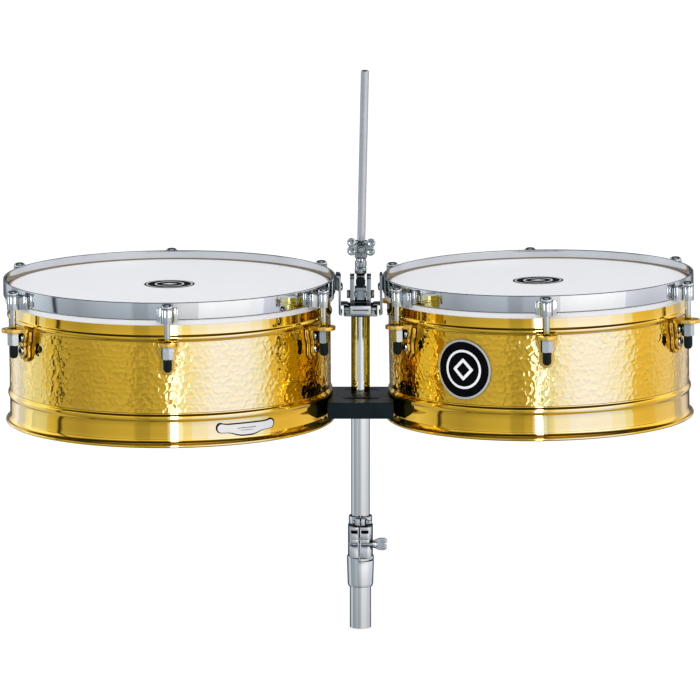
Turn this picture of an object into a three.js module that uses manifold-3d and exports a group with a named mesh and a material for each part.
// Pair of timbales on a post: two shallow single-headed drums, each hung by a strap hook from a
// cross-beam at the top of a telescoping column, with a rod above for a cowbell.
// Millimetres, +Z up, +X towards the smaller drum, -Y to the front, origin at the centre of the
// column's lower end. Every [low, high] pair below is a range along the axis it is named for.
import * as THREE from "three";
import { mergeVertices } from "three/addons/utils/BufferGeometryUtils.js";
import Module from "manifold-3d";

const wasm = await Module();
wasm.setup();
const radians = THREE.MathUtils.degToRad;

// ---- drum dimensions -------------------------------------------------------------------------
// roll lifts a drum's outer side and a negative pitch lifts its front, in degrees about its hook.
const DRUMS = {
  left: { side: -1, centreX: -226.0, radius: 190.5, roll: -0.3, pitch: -0.55 }, // 15 in shell
  right: { side: 1, centreX: 210.6, radius: 177.8, roll: 1.0, pitch: -1.07 }, // 14 in shell
};
const HOOK = { x: 19, z: 391.8 };
const DRUM_SEG = 48; // facets round a drum
const WALL = 1.6; // shell wall
const Z_SHELL_LOW = 256.8; // rolled lower edge
const Z_EDGE = 416.3; // bearing edge
const Z_LOW_BEAD = 291.5;
const Z_TOP_BEAD = 385;
const BEAD = 2; // how far a bead stands out
const HOOP_OUT = 6; // counterhoop outside, beyond the shell radius
const HOOP_IN = 3.4; // counterhoop inside, beyond the shell radius
const Z_HOOP = [407.8, 427.5];
const Z_FLESH = [400.5, 407.4]; // flesh hoop that the head is tucked on
const Z_FILM = [416.7, 417.5];
const LUGS = 6; // evenly spaced, one facing very nearly -Y
const LUG_TURN = 1.0; // degrees the ring of lugs is turned past -Y, seen from above
const ROD_OUT = 18.5; // tension rod axis, beyond the shell radius
const ROD_R = 3.5;
const ROD_HOLE_R = 4.1;
const NUT_BORE_R = ROD_HOLE_R - 0.1;
const ROD_SEG = 10;
const Z_ROD_LOW = 351;
const Z_EAR = [405.5, 421.5];
const EAR_R = 7;
const Z_TAB = [379.2, 383.6];
const TAB_HALF = 12.5; // half the tab's width, and its end radius
const Z_LEG_LOW = 342.5;
const LEG_OUT = [0.1, 8.8]; // leg's inner and outer faces, beyond the shell radius
const Z_NUT = [363.5, 378.9];
const NUT_AF = 13; // across flats
const Z_BOOT_LOW = 348;
const BOOT_R = 5.25;
const STRAP_GAP = 0.3; // hanger strap to the flat of the hoop
const STRAP_HALF = 15;
const TONGUE_HALF = 11;

// ---- column dimensions -----------------------------------------------------------------------
const LOWER_TUBE_R = 12.7; // 1 in lower tube
const LOWER_TUBE_WALL = 1.2;
const LOWER_TUBE_TOP = 112;
const LOWER_TUBE_FLOOR = 3;
const UPPER_TUBE_R = 11.1; // 7/8 in upper tube
const UPPER_TUBE_WALL = 1.4;
const Z_UPPER_TUBE = [14, 380.2];
const TUBE_SEG = 24;
const BUSHING_BORE = UPPER_TUBE_R + 0.2;
const Z_BUSHING = [LOWER_TUBE_TOP + 0.4, 124.6];
const Z_CLAMP = [51, 127];
const CLAMP_BORE = 12.98;
const CLAMP_BOLT = { y: -17.6, z: 105.6, radius: 2.9, holeR: 3.3 };
const Z_COLLAR = [127.4, 137];
const COLLAR_BORE = UPPER_TUBE_R + 0.25;
const COLLAR_BOLT = { y: -16.6, z: 132.2, radius: 1.9, holeR: 2.3, squareHalf: 1.8 };
const Z_BUMPER = [267, 286];
const BUMPER_Y = [-68, 38];
const BUMPER_STEPS = 14; // along each hollowed end
const BUMPER_HALF = 39; // half its width where it clears the shells
const BUMPER_GAP = 0.9; // added to the shell radius for the hollows
const BUMPER_TRIM = 0.2; // taken off each end along X
const BUMPER_ROLL_RISE = 9; // roll offset is taken this far above the block's middle
const BUMPER_BORE = UPPER_TUBE_R + 0.35;

// ---- beam and cowbell holder dimensions ------------------------------------------------------
const BEAM_X = 20; // half length
const BEAM_Y = 18; // half width
const Z_BEAM = [380.5, 391.5];
const CLEVIS_X = [7.3, 12.5]; // inner and outer faces of each clevis ear
const Z_CLEVIS_TOP = 428;
const TILT = { z: 404.6, radius: 2.95, holeR: 3.3, headR: 5 }; // tilter cross-bolt
const TILTER_HALF = 6.9; // half the lower tilter's width between the clevis ears
const KNOB = { z: 420.5, points: 24, radius: 6.1, notch: 1, studR: 2, studHoleR: 2.4 };
const LEAN = radians(1.2); // the cowbell rod leans a little to +X
const LEAN_Z = 428;
const BELL_ROD_R = 4.75; // 3/8 in rod
const BELL_HOLE_R = BELL_ROD_R + 0.4;
const Z_BELL_ROD = [434, 671.5];
const BOSS = { z: 461, studR: 2.8, nutHoleR: 3.1 }; // rod clamp's threaded boss

// ---- solids ----------------------------------------------------------------------------------
// A solid from a closed geometry, whichever way its faces are wound.
function solid(geometry) {
  let bare = geometry.clone();
  for (const name of Object.keys(bare.attributes)) {
    if (name !== "position") bare.deleteAttribute(name);
  }
  bare = mergeVertices(bare, 1e-4);
  const index = bare.index.array;
  const triangles = [];
  for (let i = 0; i < index.length; i += 3) {
    const [a, b, c] = index.slice(i, i + 3);
    if (a !== b && b !== c && a !== c) triangles.push(a, b, c);
  }
  const build = () => new wasm.Manifold(new wasm.Mesh({
    numProp: 3,
    vertProperties: bare.attributes.position.array,
    triVerts: new Uint32Array(triangles),
  }));
  const made = build();
  if (made.volume() > 0) return made;
  for (let i = 0; i < triangles.length; i += 3) {
    [triangles[i + 1], triangles[i + 2]] = [triangles[i + 2], triangles[i + 1]];
  }
  return build();
}

function geometryOf(shape) {
  const mesh = shape.getMesh();
  return new THREE.BufferGeometry()
    .setAttribute("position", new THREE.Float32BufferAttribute(mesh.vertProperties, 3))
    .setIndex(new THREE.Uint32BufferAttribute(mesh.triVerts, 1));
}

const join = (...shapes) => shapes.reduce((a, b) => a.add(b));
const cut = (body, ...tools) => tools.reduce((a, b) => a.subtract(b), body);
const span = (half, middle = 0) => [middle - half, middle + half];

// A profile of [radius, z] points turned about Z; it closes on itself unless it ends on the axis.
function turnedGeo(profile, seg = TUBE_SEG) {
  const points = profile.map(([radius, z]) => new THREE.Vector2(radius, z));
  if (profile[0][0] > 0 || profile.at(-1)[0] > 0) points.push(points[0].clone());
  return new THREE.LatheGeometry(points, seg, Math.PI / seg, Math.PI * 2).rotateX(Math.PI / 2);
}
const turned = (profile, seg) => solid(turnedGeo(profile, seg));

// A box from its ranges along the three axes.
function box(x, y, z) {
  return solid(new THREE.BoxGeometry(x[1] - x[0], y[1] - y[0], z[1] - z[0])
    .translate((x[0] + x[1]) / 2, (y[0] + y[1]) / 2, (z[0] + z[1]) / 2));
}

// A cylinder over a range of one axis, shifted by at.
function barGeo(axis, [from, to], radius, { at = [0, 0, 0], seg = 10 } = {}) {
  const geometry = new THREE.CylinderGeometry(radius, radius, to - from, seg)
    .translate(0, (from + to) / 2, 0);
  if (axis === "z") geometry.rotateX(Math.PI / 2);
  if (axis === "x") geometry.rotateZ(-Math.PI / 2);
  return geometry.translate(...at);
}
const bar = (...args) => solid(barGeo(...args));

// An [x, y] outline raised over a range of z.
function plateGeo(outline, [low, high]) {
  const shape = new THREE.Shape(outline.map(([x, y]) => new THREE.Vector2(x, y)));
  return new THREE.ExtrudeGeometry(shape, { depth: high - low, bevelEnabled: false })
    .translate(0, 0, low);
}
const plate = (outline, z) => solid(plateGeo(outline, z));
// An [x, z] outline standing over a range of y.
const upright = (outline, [y0, y1]) => solid(plateGeo(outline, [-y1, -y0]).rotateX(Math.PI / 2));
// A [y, z] outline standing over a range of x.
const sidewaysGeo = (outline, x) =>
  plateGeo(outline, x).rotateX(Math.PI / 2).rotateZ(Math.PI / 2);

// Points on an arc that bulges to +X, from -half to half degrees.
function arc(centreX, radius, half, step) {
  const points = [];
  for (let degrees = -half; degrees <= half; degrees += step) {
    const angle = radians(degrees);
    points.push([centreX + radius * Math.cos(angle), radius * Math.sin(angle)]);
  }
  return points;
}

// ---- finish ----------------------------------------------------------------------------------
const finish = (color, { roughness, metalness }) =>
  new THREE.MeshStandardMaterial({ color, roughness, metalness });
const BRASS = finish(0xd9a83a, { roughness: 0.22, metalness: 1 });
const CHROME = finish(0xc9ccd2, { roughness: 0.12, metalness: 1 });
const HEAD = finish(0xe9e8e6, { roughness: 0.5, metalness: 0 });
const GLOSS_BLACK = finish(0x0c1214, { roughness: 0.18, metalness: 0 });
const NYLON = finish(0x151515, { roughness: 0.55, metalness: 0 });

const part = new THREE.Group();
part.name = "timbales";
function add(name, shape, material) {
  const geometry = geometryOf(shape).toNonIndexed();
  geometry.computeVertexNormals();
  const mesh = new THREE.Mesh(geometry, material);
  mesh.name = name;
  part.add(mesh);
}

// ---- drums -----------------------------------------------------------------------------------
// Drum pieces are made about the drum's own axis. Lug pieces face +X, then are spun into place.
const spun = (geometry, degrees) => solid(geometry.clone().rotateZ(radians(degrees)));

// Open tube with a rolled lower rim and two raised beads.
const shell = (radius) => turned([
  [radius - WALL, Z_SHELL_LOW + 8],
  [radius + 0.6, Z_SHELL_LOW + 3.2],
  [radius + 1.6, Z_SHELL_LOW],
  [radius + 3.7, Z_SHELL_LOW],
  [radius + 5, Z_SHELL_LOW + 2],
  [radius + 4.6, Z_SHELL_LOW + 5],
  [radius + 1.8, Z_SHELL_LOW + 7.6],
  [radius, Z_SHELL_LOW + 10],
  [radius, Z_LOW_BEAD - 4],
  [radius + BEAD, Z_LOW_BEAD - 1],
  [radius + BEAD, Z_LOW_BEAD + 1],
  [radius, Z_LOW_BEAD + 4.5],
  [radius, Z_TOP_BEAD - 3.5],
  [radius + BEAD, Z_TOP_BEAD - 0.8],
  [radius + BEAD, Z_TOP_BEAD + 0.8],
  [radius, Z_TOP_BEAD + 3.5],
  [radius, Z_EDGE - 1.2],
  [radius - 0.6, Z_EDGE],
  [radius - WALL, Z_EDGE],
], DRUM_SEG);

// Film, collar and the flesh hoop it is tucked on.
const head = (radius) => turned([
  [0, Z_FILM[0]],
  [radius + 0.5, Z_FILM[0]],
  [radius + 0.9, Z_FILM[0] - 0.6],
  [radius + 0.9, Z_FLESH[0]],
  [radius + 4.5, Z_FLESH[0]],
  [radius + 4.5, Z_FLESH[1]],
  [radius + 1.9, Z_FLESH[1]],
  [radius + 1.9, Z_FILM[1] - 1.2],
  [radius + 1, Z_FILM[1]],
  [0, Z_FILM[1]],
], DRUM_SEG);

// A flat steel band with an omega ear welded at each lug.
function counterhoop(radius, angles) {
  const rodX = radius + ROD_OUT;
  const inner = radius + HOOP_IN;
  const outer = radius + HOOP_OUT;
  const band = turned([
    [inner, Z_HOOP[0]], [outer, Z_HOOP[0]], [outer, Z_HOOP[1] - 0.8],
    [outer - 0.8, Z_HOOP[1]], [inner + 0.6, Z_HOOP[1]], [inner, Z_HOOP[1] - 0.6],
  ], DRUM_SEG);
  // The ear reaches below the hoop, so it starts outside the flesh hoop; its root joins the band.
  const ear = plateGeo([
    [radius + 5.2, -12.2], [radius + 7.2, -11.6], [rodX - 7, -6.6],
    ...arc(rodX, EAR_R, 70, 28),
    [rodX - 7, 6.6], [radius + 7.2, 11.6], [radius + 5.2, 12.2],
  ], Z_EAR);
  const root = plateGeo([
    [radius + 4.6, -12], [radius + 7, -12], [radius + 7, 12], [radius + 4.6, 12],
  ], [Z_HOOP[0] + 0.4, Z_EAR[1]]);
  const hole = barGeo("z", [Z_EAR[0] - 2, Z_EAR[1] + 2], ROD_HOLE_R, { at: [rodX, 0, 0] });
  return angles.reduce(
    (hoop, angle) => cut(join(hoop, spun(ear, angle), spun(root, angle)), spun(hole, angle)),
    band,
  );
}

// Plate on the shell, bent out into a tab that takes the tension rod.
function lug(radius, angle) {
  const rodX = radius + ROD_OUT;
  const leg = sidewaysGeo([
    [-TAB_HALF, Z_TAB[0] + 0.8], [-12.2, 372], [-8.3, 360], [-8.2, 349], [-5, 344],
    [0, Z_LEG_LOW],
    [5, 344], [8.2, 349], [8.3, 360], [12.2, 372], [TAB_HALF, Z_TAB[0] + 0.8],
  ], LEG_OUT.map((out) => radius + out));
  const tab = plateGeo([
    [radius + 5, -TAB_HALF], [rodX + 3, -TAB_HALF],
    ...arc(rodX + 1.6, TAB_HALF, 60, 30),
    [rodX + 3, TAB_HALF], [radius + 5, TAB_HALF],
  ], Z_TAB);
  const hole = barGeo("z", [Z_TAB[0] - 2, Z_TAB[1] + 2], ROD_HOLE_R, { at: [rodX, 0, 0] });
  return cut(join(spun(leg, angle), spun(tab, angle)), spun(hole, angle));
}

// Tension rod with a domed head above the hoop ear.
function tensionRod(radius, angle) {
  const top = Z_EAR[1] + 0.4;
  const geometry = turnedGeo([
    [0, Z_ROD_LOW], [ROD_R, Z_ROD_LOW], [ROD_R, top], [6.4, top],
    [7.4, top + 1.6], [6.6, top + 4], [3.6, top + 6], [0, top + 6.5],
  ], ROD_SEG).translate(radius + ROD_OUT, 0, 0);
  return spun(geometry, angle);
}

// Hex nut below the tab, with a round boot closed over the rod's lower end.
function tensionNut(radius, angle) {
  const at = [radius + ROD_OUT, 0, 0];
  const hex = barGeo("z", Z_NUT, NUT_AF / 2 / Math.cos(Math.PI / 6), { at, seg: 6 });
  const boot = turnedGeo([
    [0, Z_BOOT_LOW], [3, Z_BOOT_LOW + 0.6], [4.8, Z_BOOT_LOW + 2.4],
    [BOOT_R, Z_BOOT_LOW + 5], [BOOT_R, Z_NUT[0] + 1], [0, Z_NUT[0] + 1],
  ], ROD_SEG).translate(...at);
  const bore = barGeo("z", [Z_ROD_LOW - 0.6, Z_NUT[1] + 1], NUT_BORE_R, { at });
  return cut(join(spun(hex, angle), spun(boot, angle)), spun(bore, angle));
}

// Strap welded to the hoop, hooked over the end lip of the cross-beam.
function hanger({ side, centreX, radius }) {
  const hoopFlat = (radius + HOOP_OUT) * Math.cos(Math.PI / DRUM_SEG);
  const face = Math.abs(centreX) - hoopFlat - STRAP_GAP;
  // Outlines are [distance from the column's axis, z].
  const strap = [
    [23, 384.6], [21.2, 383.4], [21.2, 381.6], [24, 381.4], [26, 383.6],
    [26, 408], [face, 411], [face, 426.4], [26.6, 429.4], [23, 429.4],
  ];
  const tongue = [
    [24, 392], [15.6, 392], [15.6, 385.4], [13.6, 385.4],
    [13.6, 393.4], [14.8, 394.6], [24, 394.6],
  ];
  const sided = (outline) => outline.map(([x, z]) => [x * side, z]);
  return join(
    upright(sided(strap), span(STRAP_HALF)),
    upright(sided(tongue), span(TONGUE_HALF)),
  );
}

// Turns a solid about its drum's hook by the drum's own roll and pitch.
function hang(shape, { side, roll, pitch }) {
  return solid(geometryOf(shape)
    .translate(-side * HOOK.x, 0, -HOOK.z)
    .rotateX(radians(pitch))
    .rotateY(radians(-roll * side))
    .translate(side * HOOK.x, 0, HOOK.z));
}

for (const [tag, drum] of Object.entries(DRUMS)) {
  const { radius, centreX } = drum;
  const place = (shape) => hang(shape.translate([centreX, 0, 0]), drum);
  const angles = Array.from({ length: LUGS }, (_, i) => -90 + LUG_TURN + i * (360 / LUGS));
  add(`${tag}_shell`, place(shell(radius)), BRASS);
  add(`${tag}_head`, place(head(radius)), HEAD);
  add(`${tag}_hoop`, place(counterhoop(radius, angles)), CHROME);
  angles.forEach((angle, i) => {
    add(`${tag}_lug_${i + 1}`, place(lug(radius, angle)), BRASS);
    add(`${tag}_rod_${i + 1}`, place(tensionRod(radius, angle)), CHROME);
    add(`${tag}_nut_${i + 1}`, place(tensionNut(radius, angle)), CHROME);
  });
  add(`${tag}_hanger`, hang(hanger(drum), drum), CHROME);
}

// ---- column ----------------------------------------------------------------------------------
const tube = (inner, outer, [low, high]) =>
  turned([[inner, low], [outer, low], [outer, high], [inner, high]]);

// Closed by a flat wall at its lower end.
function lowerTube() {
  const inner = LOWER_TUBE_R - LOWER_TUBE_WALL;
  return turned([
    [0, 0], [LOWER_TUBE_R, 0], [LOWER_TUBE_R, LOWER_TUBE_TOP], [inner, LOWER_TUBE_TOP],
    [inner, LOWER_TUBE_FLOOR], [0, LOWER_TUBE_FLOOR],
  ]);
}

// Clamp casting: tapered lower sleeve, D-shaped upper half split at the front for the clamp bolt.
function standClamp() {
  const sleeve = turned([
    [CLAMP_BORE, Z_CLAMP[0]], [14.2, Z_CLAMP[0]], [15.2, 53.4], [16.3, 86.4], [15.9, 88.2],
    [14.9, 89], [14.9, Z_CLAMP[1]], [CLAMP_BORE, Z_CLAMP[1]],
  ]);
  const dee = [
    [-14, 0], [-14, -14], [-13, -18.5], [-9.5, -21.8],
    [9.5, -21.8], [13, -18.5], [14, -14], [14, 0],
  ];
  const front = plate(dee, [88.4, 125.8]);
  const crown = plate(dee.map(([x, y]) => [x * 0.94, y * 0.96]), [125.4, Z_CLAMP[1]]);
  const bore = turned([[0, 40], [CLAMP_BORE, 40], [CLAMP_BORE, 140], [0, 140]]);
  const slit = box([-2.4, -0.6], [-40, 0], [84, 140]);
  const sideSlit = box([-2.4, 30], [-40, -2], [83, 85]);
  const boltHole = bar("x", [-12.5, 20], CLAMP_BOLT.holeR, { at: [0, CLAMP_BOLT.y, CLAMP_BOLT.z] });
  const windows = [[-11, -3.6], [0.8, 9.4]].map((x) => box(x, [-30, -5], [118.8, 122.8]));
  const grooves = [[-12.6, -3.4], [0.6, 12.6]].map((x) => box(x, [-30, -19.6], [103, 107.4]));
  return cut(join(sleeve, front, crown), bore, slit, sideSlit, boltHole, ...windows, ...grooves);
}

function clampWingBolt() {
  const at = [0, CLAMP_BOLT.y, CLAMP_BOLT.z];
  const bolt = bar("x", [-9.5, 16], CLAMP_BOLT.radius, { at });
  const hub = bar("x", [14.4, 20.5], 4.6, { at, seg: 12 });
  const wing = upright([
    [16.4, 101.4], [19, 100.2], [22, 98.4], [27, 97.8], [31, 99],
    [32.2, 102], [30, 104], [26, 105], [30, 106], [32.2, 108],
    [31, 111], [27, 112.2], [22, 111.6], [19, 109.8], [16.4, 108.6],
  ], span(2.2, CLAMP_BOLT.y));
  return join(bolt, hub, wing);
}

// Split ring on the upper tube, with ears at the front for its bolt.
function memoryLock() {
  const ring = turned([
    [COLLAR_BORE, Z_COLLAR[0]], [13.6, Z_COLLAR[0]], [14.1, 128.4],
    [14.1, 136], [13.6, Z_COLLAR[1]], [COLLAR_BORE, Z_COLLAR[1]],
  ]);
  const ears = box(span(6.5), [-20, -12.4], [128, 136.4]);
  const slit = box(span(0.9), [-30, 0], [120, 140]);
  const bore = turned([[0, 120], [COLLAR_BORE, 120], [COLLAR_BORE, 140], [0, 140]]);
  const hole = bar("x", span(10), COLLAR_BOLT.holeR, { at: [0, COLLAR_BOLT.y, COLLAR_BOLT.z] });
  return cut(join(ring, ears), slit, bore, hole);
}

// Square-headed key bolt.
function memoryLockBolt() {
  const { y, z, radius, squareHalf } = COLLAR_BOLT;
  const shaft = bar("x", [-9, 8], radius, { at: [0, y, z] });
  const flange = bar("x", [6.9, 8.4], 4, { at: [0, y, z], seg: 12 });
  return join(shaft, flange, box([8, 13], span(squareHalf, y), span(squareHalf, z)));
}

// Moulded spacer on the column that both shells rest against.
function bumperBlock() {
  const drop = HOOK.z - (Z_BUMPER[0] + Z_BUMPER[1]) / 2;
  const [front, back] = BUMPER_Y;
  // One hollowed end, following the shell wall as moved by the drum's roll and pitch.
  const end = ({ side, centreX, radius, roll, pitch }) => {
    const wallX = Math.abs(centreX) + (drop - BUMPER_ROLL_RISE) * Math.sin(radians(roll));
    const shiftY = drop * Math.sin(radians(pitch));
    return Array.from({ length: BUMPER_STEPS + 1 }, (_, i) => {
      const y = front + ((back - front) * i) / BUMPER_STEPS;
      const hollow = wallX - Math.sqrt((radius + BUMPER_GAP) ** 2 - (y - shiftY) ** 2);
      return [side * Math.min(hollow - BUMPER_TRIM, BUMPER_HALF), y];
    });
  };
  const block = plate([...end(DRUMS.right), ...end(DRUMS.left).reverse()], Z_BUMPER);
  const bore = bar("z", [260, 300], BUMPER_BORE, { seg: TUBE_SEG });
  const slots = [[-44, -37], [17, 23]].map(
    (y) => box([-19, 21], y, [Z_BUMPER[0] + 4, Z_BUMPER[1] + 4]),
  );
  return cut(block, bore, ...slots);
}

add("lower_tube", lowerTube(), CHROME);
add("upper_tube", tube(UPPER_TUBE_R - UPPER_TUBE_WALL, UPPER_TUBE_R, Z_UPPER_TUBE), CHROME);
add("clamp_bushing", tube(BUSHING_BORE, LOWER_TUBE_R, Z_BUSHING), NYLON);
add("stand_clamp", standClamp(), CHROME);
add("clamp_wing_bolt", clampWingBolt(), CHROME);
add("memory_lock", memoryLock(), CHROME);
add("memory_lock_bolt", memoryLockBolt(), CHROME);
add("bumper_block", bumperBlock(), GLOSS_BLACK);

// ---- cross-beam ------------------------------------------------------------------------------
// Open-topped tray with a solid middle and two clevis ears.
function crossBeam() {
  const pocket = box(span(BEAM_X - 2), span(BEAM_Y - 2.4), [383, 400]);
  const tray = cut(box(span(BEAM_X), span(BEAM_Y), Z_BEAM), pocket);
  const middle = box(span(12.6), [-24, BEAM_Y - 1], [383.4, 394.4]);
  const earOutline = [
    [-11, 393.8], [11, 393.8], [11, 424], [8, Z_CLEVIS_TOP], [-8, Z_CLEVIS_TOP], [-11, 424],
  ];
  const [inner, outer] = CLEVIS_X;
  const ears = [[-outer, -inner], [inner, outer]].map((x) => solid(sidewaysGeo(earOutline, x)));
  const frontGroove = box(span(9.5), [-30, -22.4], [388.4, 390]);
  const boltHole = bar("x", span(20), TILT.holeR, { at: [0, 0, TILT.z], seg: 12 });
  const underNotch = box(span(10.4), [-22, -18.2], [380, 388]);
  return cut(join(tray, middle, ...ears), frontGroove, boltHole, underNotch);
}
add("cross_beam", crossBeam(), CHROME);

// ---- cowbell holder --------------------------------------------------------------------------
const lean = (shape) => solid(geometryOf(shape)
  .translate(0, 0, -LEAN_Z)
  .rotateY(LEAN)
  .translate(0, 0, LEAN_Z));

// Cross-bolt the tilter pivots on: hex head one end, nut the other.
function tilterBolt() {
  const at = [0, 0, TILT.z];
  const shaft = bar("x", span(14), TILT.radius, { at, seg: 12 });
  const hexes = [[12.8, 16.2], [-16.2, -12.8]].map((x) => bar("x", x, TILT.headR, { at, seg: 6 }));
  return join(shaft, ...hexes);
}

function tilterLower() {
  const at = [0, 0, TILT.z];
  const foot = bar("x", span(TILTER_HALF), 9.4, { at, seg: 20 });
  const block = box(span(TILTER_HALF), span(8), [TILT.z, 413.4]);
  const neck = box(span(5), [-4.4, 5], [412, 427.6]);
  const bore = bar("x", span(10), TILT.holeR, { at, seg: 12 });
  const studHole = bar("y", [-6, 8], KNOB.studHoleR, { at: [0, 0, KNOB.z] });
  return cut(join(foot, block, neck), bore, studHole);
}

// Knob at the front of the tilter, notched at every fourth point of its rim, on a short stud.
function tilterKnob() {
  const rim = Array.from({ length: KNOB.points }, (_, i) => {
    const angle = (i / KNOB.points) * Math.PI * 2;
    const radius = KNOB.radius - (i % 4 === 0 ? KNOB.notch : 0);
    return [radius * Math.cos(angle), KNOB.z + radius * Math.sin(angle)];
  });
  const stud = bar("y", span(6), KNOB.studR, { at: [0, 0, KNOB.z] });
  return join(upright(rim, [-13.4, -4.9]), stud);
}

// Waisted socket for the foot of the cowbell rod.
function tilterUpper() {
  const socket = turned([
    [0, 428.4], [5.6, 428.4], [6.9, 430.2], [6.9, 436], [6.2, 437],
    [6.9, 438], [6.9, 443], [5.9, 444.6], [5.9, 447.6], [0, 447.6],
  ], 20);
  return cut(socket, bar("z", [433.6, 460], BELL_HOLE_R, { seg: 16 }));
}

// Eye round the rod with a threaded boss at the front.
function rodClamp() {
  const eye = turned([
    [0, 448], [6.6, 448], [7.4, 449.4], [7.4, 467.6], [6.6, 469], [0, 469],
  ], 20);
  const boss = box(span(5.4), [-11, -3], [450, 467.4]);
  const stud = bar("y", [-17.6, -10], BOSS.studR, { at: [0, 0, BOSS.z] });
  return cut(join(eye, boss, stud), bar("z", [440, 480], BELL_HOLE_R, { seg: 16 }));
}

// Wing nut on the boss: four round lobes, each dished at the front.
function rodWingNut() {
  const at = [0, 0, BOSS.z];
  const depth = [-15.4, -12.2];
  const lobes = [
    { x: 11.6, z: 468.4, radius: 5.2, dishZ: 468.6 },
    { x: 11, z: 458.6, radius: 5.6, dishZ: 458.6 },
  ].flatMap((lobe) => [{ ...lobe, x: -lobe.x }, lobe]);
  const hub = bar("y", [-18.6, -11.4], 5, { at, seg: 12 });
  const arms = box(span(10), depth, [457, 468]);
  const discs = lobes.map(({ x, z, radius }) => bar("y", depth, radius, { at: [x, 0, z], seg: 12 }));
  const hole = bar("y", [-20, -10], BOSS.nutHoleR, { at });
  const dishes = lobes.map(({ x, dishZ }) => bar("y", [-16, -14.4], 2.8, { at: [x, 0, dishZ] }));
  return cut(join(hub, arms, ...discs), hole, ...dishes);
}

function cowbellRod() {
  const [low, high] = Z_BELL_ROD;
  return turned([
    [0, low], [BELL_ROD_R - 0.8, low], [BELL_ROD_R, low + 1.2],
    [BELL_ROD_R, high - 1.2], [BELL_ROD_R - 0.8, high], [0, high],
  ], 16);
}

add("tilter_bolt", tilterBolt(), CHROME);
add("tilter_lower", tilterLower(), CHROME);
add("tilter_knob", tilterKnob(), GLOSS_BLACK);
add("tilter_upper", lean(tilterUpper()), CHROME);
add("rod_clamp", lean(rodClamp()), CHROME);
add("rod_wing_nut", lean(rodWingNut()), CHROME);
add("cowbell_rod", lean(cowbellRod()), CHROME);

export default part;
